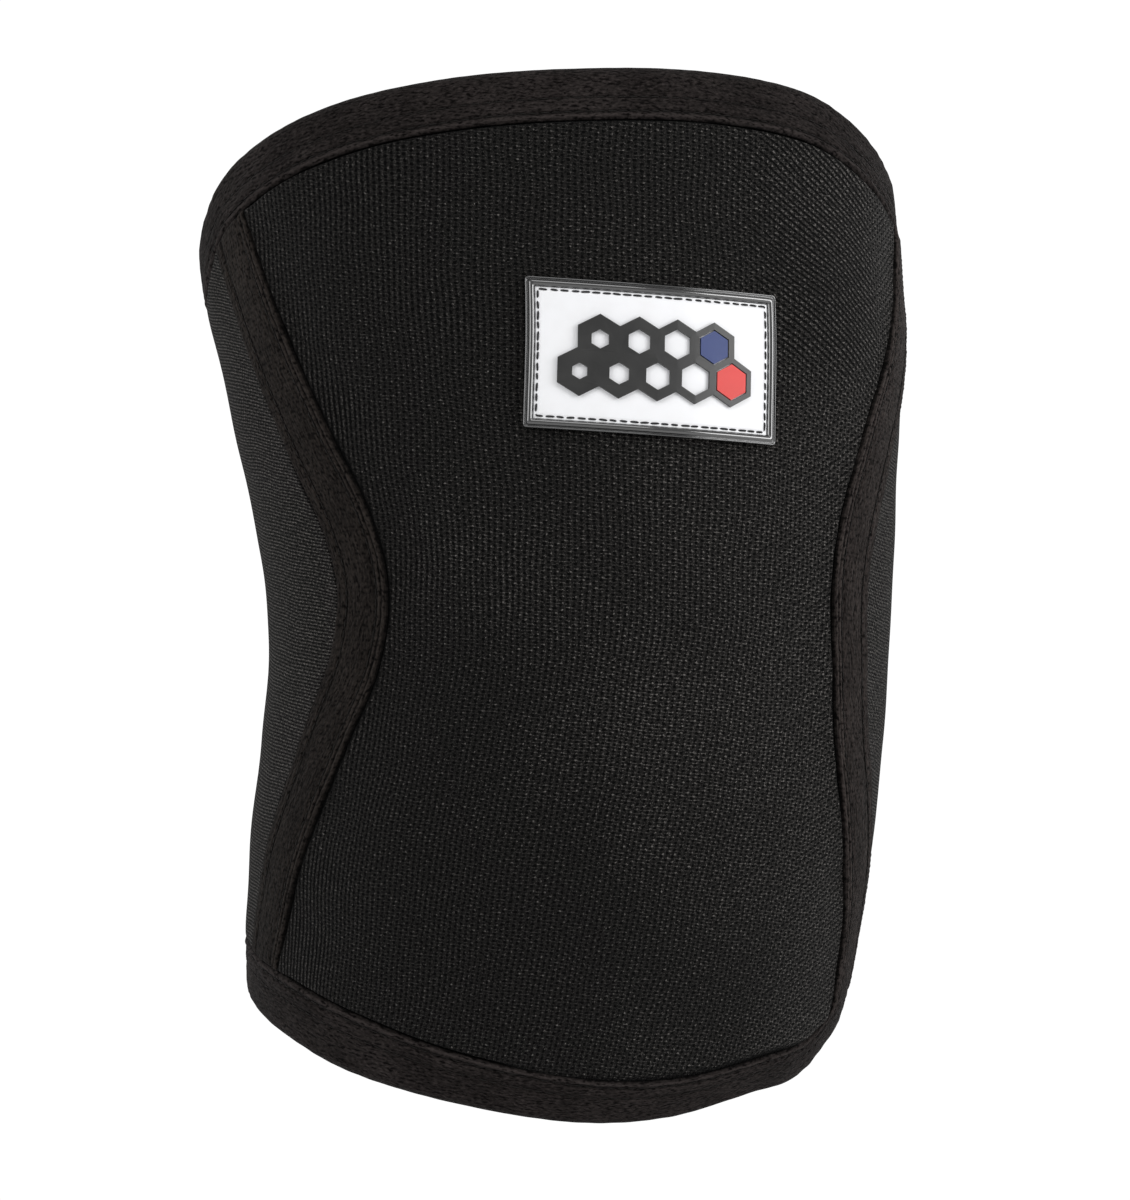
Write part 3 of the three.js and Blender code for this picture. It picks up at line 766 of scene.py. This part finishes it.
def band_profile(width):
    """A binding's cross-section from its outer sewn edge over the fold to its inner one and back inside.

    Columns: lift off the skin, distance from the fold, and off, from the outer sewn edge over the outside.
    """
    middle = -WALL / 2
    inside = WALL / 2 + CLEARANCE
    outside = inside + BAND_THICKNESS
    leaf = np.concatenate((np.arange(0, FINE_LEAF, 0.3), np.arange(FINE_LEAF + 0.2, width - BAND_ROUND, 0.8)))
    fold = np.linspace(0, math.pi, 15)
    fold_length = math.pi * (outside + BAND_ROUND) / 2
    rows = [(middle + outside, width - off, off) for off in leaf]
    for turn in fold:
        off = width - BAND_ROUND + fold_length * turn / math.pi
        rows.append((middle + outside * math.cos(turn), BAND_ROUND * (1 - math.sin(turn)), off))
    far = width - BAND_ROUND + fold_length
    back = np.concatenate((np.arange(width - BAND_ROUND, FINE_LEAF, -0.8)[1:], np.arange(7.0, -0.1, -0.35)))
    rows += [(middle - outside, width - off, far + (width - BAND_ROUND - off)) for off in back]
    rows += [(middle - inside, width - 0.2, far + width), (middle - inside, BAND_CHANNEL, far + width)]
    rows += [(middle + inside, BAND_CHANNEL, 0), (middle + inside, width - 0.2, 0)]
    return np.array(rows).T


def add_band(name, edge, sewn, width, node, seed):
    """A binding folded over an edge, drawn in by the two rows of stitches near its sewn edges."""
    lift, depth, off = band_profile(width)
    angle = np.linspace(-math.pi, math.pi, BAND_COLUMNS + 1)
    run = lengths(skin(angle, edge(angle)))
    from_sewn = (width - depth)[:, None] + 0.12 * ripple(0, run, 9, seed)[None, :]
    stitches = round(run[-1] / BAND_PITCH)
    dimple = 0.5 + 0.5 * np.cos(TURN * stitches * run / run[-1])
    relief = along(BAND_RELIEF, "off", np.maximum(from_sewn, 0), "lift")
    grooved = np.exp(-(((from_sewn - BAND_SEAMS[0]) / 0.5) ** 2))
    relief = relief - 0.12 * grooved * dimple + 0.1 * ripple(from_sewn * 1.6, run[None, :] * 0.8, 6, seed + 1)
    relief = relief + 0.08 * ripple(from_sewn, run[None, :], 19, seed + 2)
    outside = np.where(lift > RELIEF_OUTSIDE, 1, 0) - np.where(lift < RELIEF_INSIDE, 1, 0)
    rim = np.where(depth < BAND_ROUND, 1, 0)[:, None] * 0.1 * ripple(depth[:, None], run[None, :], 7, seed + 3)
    turns, lifts = np.meshgrid(angle, lift)
    lifts = lifts + relief * outside[:, None] + rim * np.sign(lifts + WALL / 2)
    share = depth[:, None] / width
    height = mix(edge(angle), sewn(angle), share)
    points = on_skin(turns, height, lifts)
    cloth = np.stack(np.broadcast_arrays(run[None, :], off[:, None], 0 * turns), axis=-1)
    numbers = np.arange(points.shape[0] * points.shape[1]).reshape(points.shape[:2])
    faces = quads(np.concatenate((numbers, numbers[:1])))
    return add_piece(name, points, faces, cloth, (band_cloth,), (node,), sharp=55)


add_band("top_binding", top_edge, top_sewn, TOP_BAND_WIDTH, "top_band", 31)
add_band("bottom_binding", bottom_edge, bottom_sewn, BOTTOM_BAND_WIDTH, "bottom_band", 47)


def add_stitches(name, paths, normals, radius, finish, sides=6):
    """One mesh of many stitches. paths and normals hold each stitch's points and the ways out of the cloth there."""
    count, steps = paths.shape[:2]
    ahead = unit(np.gradient(paths, axis=1))
    across = unit(np.cross(ahead, normals))
    out = np.cross(across, ahead)
    swell = radius * np.sqrt(np.clip(1 - (np.linspace(-1, 1, steps) * 0.985) ** 4, 0, 1))
    turn = np.arange(sides) * TURN / sides
    ring = across[:, :, None] * np.cos(turn)[:, None] + out[:, :, None] * np.sin(turn)[:, None]
    points = paths[:, :, None] + ring * swell[:, None, None]
    numbers = np.arange(count * steps * sides).reshape(count, steps, sides)
    wrapped = np.concatenate((numbers, numbers[:, :, :1]), axis=2)
    faces = [face for stitch in wrapped for face in quads(stitch)]
    faces += numbers[:, 0, ::-1].tolist() + numbers[:, -1].tolist()
    along_it = np.linspace(0, 3, steps)[None, :, None] + 0 * points[..., 0]
    cloth = np.stack((along_it, np.broadcast_to(turn * radius, along_it.shape), 0 * along_it), axis=-1)
    return add_piece(name, points, faces, cloth, (finish,), sharp=80)


def row_of_stitches(angle_at, height_at, lift, length, pitch, total, arch):
    """Stitches in a row. angle_at and height_at take a distance along the row."""
    count = round(total / pitch)
    starts = np.arange(count) * total / count
    t = np.linspace(0, 1, STITCH_POINTS)
    run = starts[:, None] + length * t
    angle, height = angle_at(run), height_at(run)
    lifts = lift + arch * np.sin(math.pi * t) ** 0.6 - arch
    return on_skin(angle, height, lifts + 0 * run), outward(angle, height)


def band_stitches(edge, sewn, width, off, lift, arch):
    """A row of stitches round a binding, so far from its sewn edge."""
    angle = np.linspace(-math.pi, math.pi, 2000)
    share = (width - off) / width
    line = lengths(skin(angle, mix(edge(angle), sewn(angle), share)))

    def angle_at(run):
        return np.interp(run, line, angle)

    def height_at(run):
        return mix(edge(angle_at(run)), sewn(angle_at(run)), share)

    return row_of_stitches(angle_at, height_at, lift, BAND_STITCH, BAND_PITCH, line[-1], arch)


for name, edge, sewn, width in (
    ("top_binding_stitches", top_edge, top_sewn, TOP_BAND_WIDTH),
    ("bottom_binding_stitches", bottom_edge, bottom_sewn, BOTTOM_BAND_WIDTH),
):
    rows = [
        band_stitches(edge, sewn, width, BAND_SEAMS[0], 1.3, 0.25),
        band_stitches(edge, sewn, width, BAND_SEAMS[1], 1.5, 0.22),
        band_stitches(edge, sewn, width, BAND_SEAMS[0], -WALL - 1.45, -0.25),
    ]
    paths, normals = (np.concatenate(parts) for parts in zip(*rows))
    add_stitches(name, paths, normals, BAND_THREAD, thread)


def tape_row(side, off, lift, length, pitch, arch, sway=0.0):
    """A row of stitches along a tape, straight or swaying into a zigzag."""
    share = np.linspace(0.004, 0.996, 1200)
    angle = seam_strip(side, off, share)
    height = tape_height(angle, share)
    line = lengths(skin(angle, height))

    def share_at(run):
        return np.interp(run, line, share)

    def angle_at(run):
        swayed = off + sway * np.sin(math.pi * run / pitch)
        return seam_strip(side, swayed, share_at(run))

    def height_at(run):
        return tape_height(angle_at(run), share_at(run))

    return row_of_stitches(angle_at, height_at, lift, length, pitch, line[-1] - pitch, arch)


for side, back in (("left", 1), ("right", -1)):
    rows = [
        tape_row(side, back * (inward - TAPE_WIDTH / 2), TAPE_LIFT, TAPE_STITCH, TAPE_PITCH, 0.2)
        for inward in TAPE_SEAMS
    ]
    rows.append(tape_row(side, 0.0, -WALL - 0.05, ZIGZAG_STITCH, ZIGZAG_PITCH, -0.2, ZIGZAG_SWAY))
    paths, normals = (np.concatenate(parts) for parts in zip(*rows))
    add_stitches(side + "_tape_stitches", paths, normals, TAPE_THREAD, thread)


def on_label(across, up, lift):
    """A point of the label, from millimetres across and up it and off the front panel, and its way out."""
    middle = walk(np.float64(0), np.float64(LABEL_HEIGHT_ON_LEG), LABEL_SIDE, 0)
    raised = walk(*middle, 0, across * math.sin(LABEL_TURN) + up * math.cos(LABEL_TURN))
    place = walk(*raised, across * math.cos(LABEL_TURN) - up * math.sin(LABEL_TURN), 0)
    return on_skin(*place, CLEARANCE + lift), outward(*place)


def label_loop(width, height, corner):
    """Points round a rounded rectangle. Every loop has the same number of points, whatever its size."""
    loop = []
    for side, level, start, run, facets in (
        (1, 1, 0, width - 2 * corner, 44),
        (-1, 1, 90, height - 2 * corner, 26),
        (-1, -1, 180, width - 2 * corner, 44),
        (1, -1, 270, height - 2 * corner, 26),
    ):
        turns = np.radians(np.linspace(start, start + 90, 9))
        middle = np.array((side * (width / 2 - corner), level * (height / 2 - corner)))
        arc = middle + corner * np.stack((np.cos(turns), np.sin(turns)), axis=-1)
        onward = np.array((-math.sin(turns[-1]), math.cos(turns[-1])))
        steps = np.arange(1, facets)[:, None] * run / facets
        loop.append(np.concatenate((arc, arc[-1] + steps * onward)))
    return np.concatenate(loop)


# The label's rim: its cross-section from its inner foot over the top to its outer foot: out from the face, and up.
RIM_PROFILE = np.array([
    (0.0, 0.0), (0.0, 1.0), (0.03, 1.2), (0.12, 1.42), (0.3, 1.66), (0.55, 1.84), (0.85, 1.93),
    (1.15, 1.9), (1.4, 1.76), (1.6, 1.52), (1.72, 1.3), (1.8, 1.2), (1.9, 1.18), (1.98, 1.26),
    (2.06, 1.42), (2.18, 1.52), (2.32, 1.5), (2.43, 1.38), (2.49, 1.2), (2.5, 1.0), (2.5, 0.0),
])
outer_loop = label_loop(LABEL_WIDTH, LABEL_HEIGHT, LABEL_CORNER)
inner_loop = label_loop(LABEL_WIDTH - 2 * FRAME_WIDTH, LABEL_HEIGHT - 2 * FRAME_WIDTH, LABEL_CORNER / 3)
rim_share = RIM_PROFILE[:, :1] / FRAME_WIDTH
rim_across = mix(inner_loop[None, :, 0], outer_loop[None, :, 0], rim_share)
rim_up = mix(inner_loop[None, :, 1], outer_loop[None, :, 1], rim_share)
rim_points, _ = on_label(rim_across, rim_up, RIM_PROFILE[:, 1:])
numbers = np.arange(rim_points.shape[0] * rim_points.shape[1]).reshape(rim_points.shape[:2])
wrapped = np.concatenate((numbers, numbers[:, :1]), axis=1)
rim_faces = quads(np.concatenate((wrapped, wrapped[:1])))
rim_cloth = np.stack((rim_across, rim_up, 0 * rim_up), axis=-1)
add_piece("label_rim", rim_points, rim_faces, rim_cloth, (frame_gloss,), ("label_frame",), sharp=70)

THREAD_IN = 0.62  # the row of thread, in from the face's edge
THREAD_PITCH, THREAD_STITCH, THREAD_POINTS = 2.7, 2.3, 8
FACE_COLUMNS, FACE_ROWS, FACE_STEP = 180, 96, 6
across, up = np.meshgrid(
    np.linspace(-FACE_WIDTH / 2, FACE_WIDTH / 2, FACE_COLUMNS + 1),
    np.linspace(-FACE_HEIGHT / 2, FACE_HEIGHT / 2, FACE_ROWS + 1),
)
from_edge = np.minimum(FACE_WIDTH / 2 - abs(across), FACE_HEIGHT / 2 - abs(up))
pressed = 0.22 * np.exp(-(((from_edge - THREAD_IN) / 0.4) ** 2)) + 0.12 * np.exp(-from_edge / 0.15)
face_outer, _ = on_label(across, up, FACE_THICKNESS - pressed)
face_inner, _ = on_label(across, up, 0 * up)
face_points, face_faces, _ = slab(face_outer, face_inner, FACE_STEP)
face_cloth = strided(np.stack((across, up, 0 * up), axis=-1), FACE_STEP)
add_piece("label_plate", face_points, face_faces, face_cloth, (face_white,), ("label_face",))

thread_loop = label_loop(FACE_WIDTH - 2 * THREAD_IN, FACE_HEIGHT - 2 * THREAD_IN, 0.5)
thread_loop = np.concatenate((thread_loop, thread_loop[:1]))
thread_line = lengths(thread_loop)
pitch = thread_line[-1] / round(thread_line[-1] / THREAD_PITCH)
chance = np.random.default_rng(5)
starts = np.arange(round(thread_line[-1] / pitch)) * pitch
reach = THREAD_STITCH + chance.uniform(-0.35, 0.25, len(starts))
t = np.linspace(0, 1, THREAD_POINTS)
run = (starts[:, None] + t * reach[:, None]) % thread_line[-1]
stray = chance.uniform(-0.1, 0.1, (len(starts), 1)) * (2 * t - 1)
stitch_across = np.interp(run, thread_line, thread_loop[:, 0]) + stray
stitch_up = np.interp(run, thread_line, thread_loop[:, 1]) + stray
arch = FACE_THICKNESS - 0.3 + 0.28 * np.sin(math.pi * t) ** 0.5
stitch_paths, stitch_normals = on_label(stitch_across, stitch_up, arch + 0 * run)
add_stitches("label_stitches", stitch_paths, stitch_normals, LABEL_THREAD, label_thread, 8)

EMBLEM_ROUNDING = 0.12
for node, finish in (
    ("label_honeycomb", emblem_dark),
    ("label_tile_red", emblem_red),
    ("label_tile_blue", emblem_blue),
):
    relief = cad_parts[node]
    relief.data.materials.clear()
    relief.data.materials.append(finish)
    rounding = relief.modifiers.new("rounded_edges", "BEVEL")
    rounding.width = EMBLEM_ROUNDING * MM
    rounding.segments = 2
    rounding.limit_method = "ANGLE"
    rounding.angle_limit = math.radians(50)
    rounding.harden_normals = False

# The studio: a pale floor well below the sleeve, a white surround and four soft lights
FLOOR_DROP, FLOOR_REACH = 300, 1400
SURROUND_LIGHT, WHITE_BEHIND = 0.42, 1.05
floor_mesh = bpy.data.meshes.new("floor")
shaped = bmesh.new()
bmesh.ops.create_grid(shaped, x_segments=8, y_segments=8, size=FLOOR_REACH * MM)
bmesh.ops.translate(shaped, verts=shaped.verts, vec=(0, 0, -FLOOR_DROP * MM))
shaped.to_mesh(floor_mesh)
shaped.free()
floor_finish = Finish("floor_paper", Roughness=0.9, Specular_IOR_Level=0.2)
paper = floor_finish.node("ShaderNodeTexNoise", {}, {"Scale": 4.0, "Detail": 3.0})
paper_colour = floor_finish.blend(paper, (0.84, 0.84, 0.84), (0.88, 0.88, 0.88))
floor_mesh.materials.append(floor_finish.show(Base_Color=paper_colour))
floor = bpy.data.objects.new("floor", floor_mesh)
bpy.context.scene.collection.objects.link(floor)

world = bpy.data.worlds.new("surround")
world.use_nodes = True
bpy.context.scene.world = world
nodes, links = world.node_tree.nodes, world.node_tree.links
surround = nodes["Background"]
surround.inputs["Color"].default_value = (1, 1, 1, 1)
surround.inputs["Strength"].default_value = SURROUND_LIGHT
seen = nodes.new("ShaderNodeBackground")
seen.inputs["Color"].default_value = (1, 1, 1, 1)
seen.inputs["Strength"].default_value = WHITE_BEHIND
rays = nodes.new("ShaderNodeLightPath")
either = nodes.new("ShaderNodeMixShader")
links.new(rays.outputs["Is Camera Ray"], either.inputs["Fac"])
links.new(surround.outputs[0], either.inputs[1])
links.new(seen.outputs[0], either.inputs[2])
links.new(either.outputs[0], nodes["World Output"].inputs["Surface"])


def add_light(name, place, size, power):
    """A soft square light that faces the sleeve."""
    light = bpy.data.lights.new(name, "AREA")
    light.shape, light.size, light.energy = "SQUARE", size, power
    lamp = bpy.data.objects.new(name, light)
    lamp.location = place
    lamp.rotation_euler = Vector(place).to_track_quat("Z", "Y").to_euler()
    bpy.context.scene.collection.objects.link(lamp)


add_light("left_softbox", (-1.6, -1.0, 0.6), 1.1, 12)
add_light("right_softbox", (1.5, -1.2, 0.6), 1.1, 19.5)
add_light("high_softbox", (0.1, -1.2, 1.8), 1.2, 9)
add_light("back_left_strip", (-1.3, 1.1, 0.3), 0.8, 3)
add_light("back_right_strip", (1.3, 1.1, 0.3), 0.8, 2.4)

bpy.context.scene.view_settings.view_transform = "Standard"
